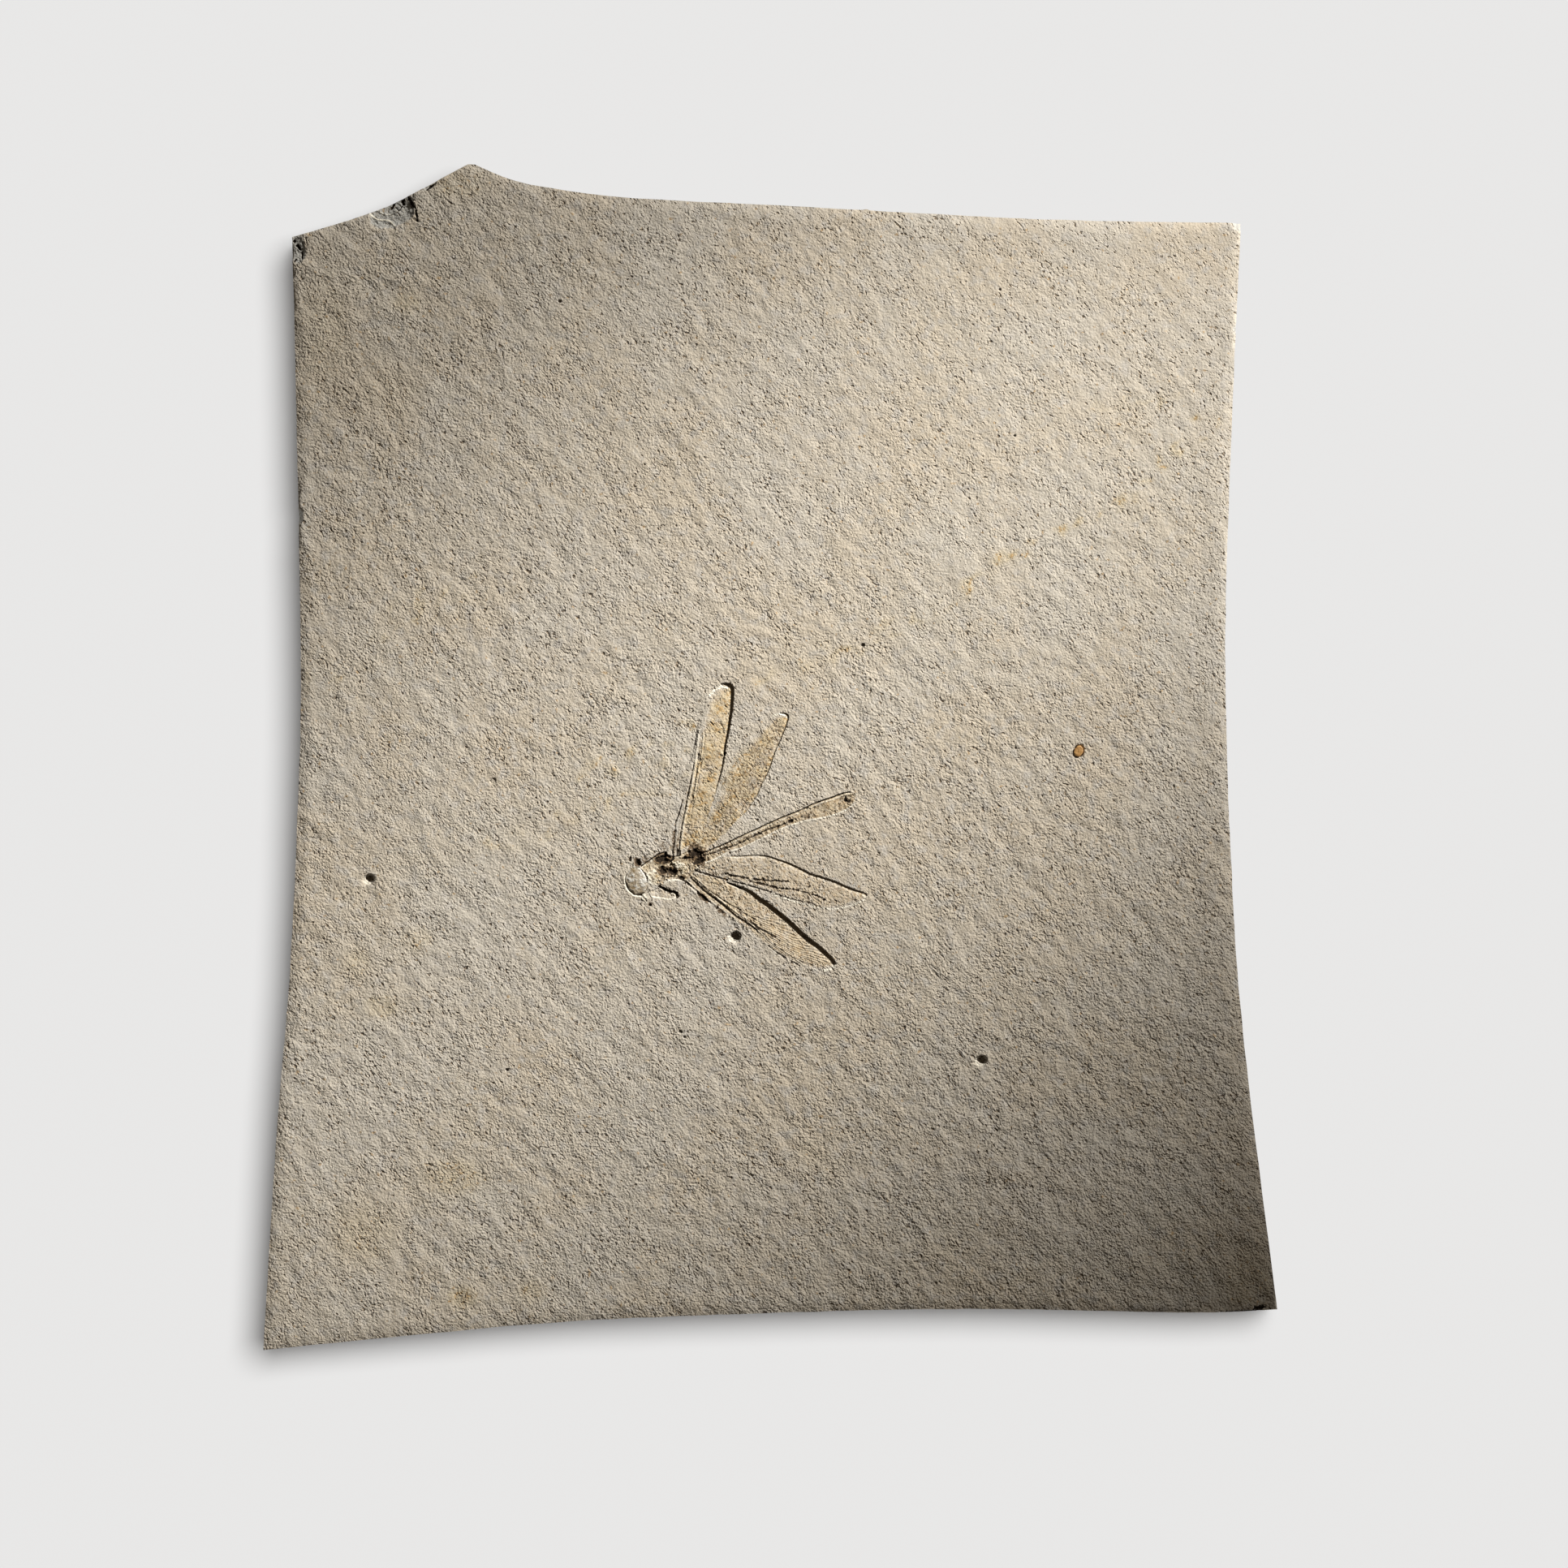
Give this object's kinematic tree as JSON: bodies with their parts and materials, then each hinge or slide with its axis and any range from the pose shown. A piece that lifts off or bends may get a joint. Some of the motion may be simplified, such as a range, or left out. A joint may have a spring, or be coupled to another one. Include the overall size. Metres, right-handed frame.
{
  "type": "fossil dragonfly slab",
  "caption": "Thin broken limestone slab lying flat, with a shallow dragonfly imprint on its upper face, a calcite-filled head and a small iron-oxide grain.",
  "frame": {"origin": "middle of the bounding box, on the flat underside that the slab lies on", "axes": "+Z out of the fossil face, +Y along the longer sides towards the pointed corner, +X to the right seen from above"},
  "size_m": [0.2208, 0.2586, 0.0123],
  "materials": {
    "limestone": "matt, sandy cleaved face with pale orange iron stain",
    "calcite": "cloudy, half-clear crystal with white flecks",
    "limonite": "orange-brown, dull waxy"
  },
  "bodies": {
    "root": {"limestone_slab": "limestone", "head_calcite": "calcite", "limonite_grain": "limonite"}
  },
  "joints": []
}
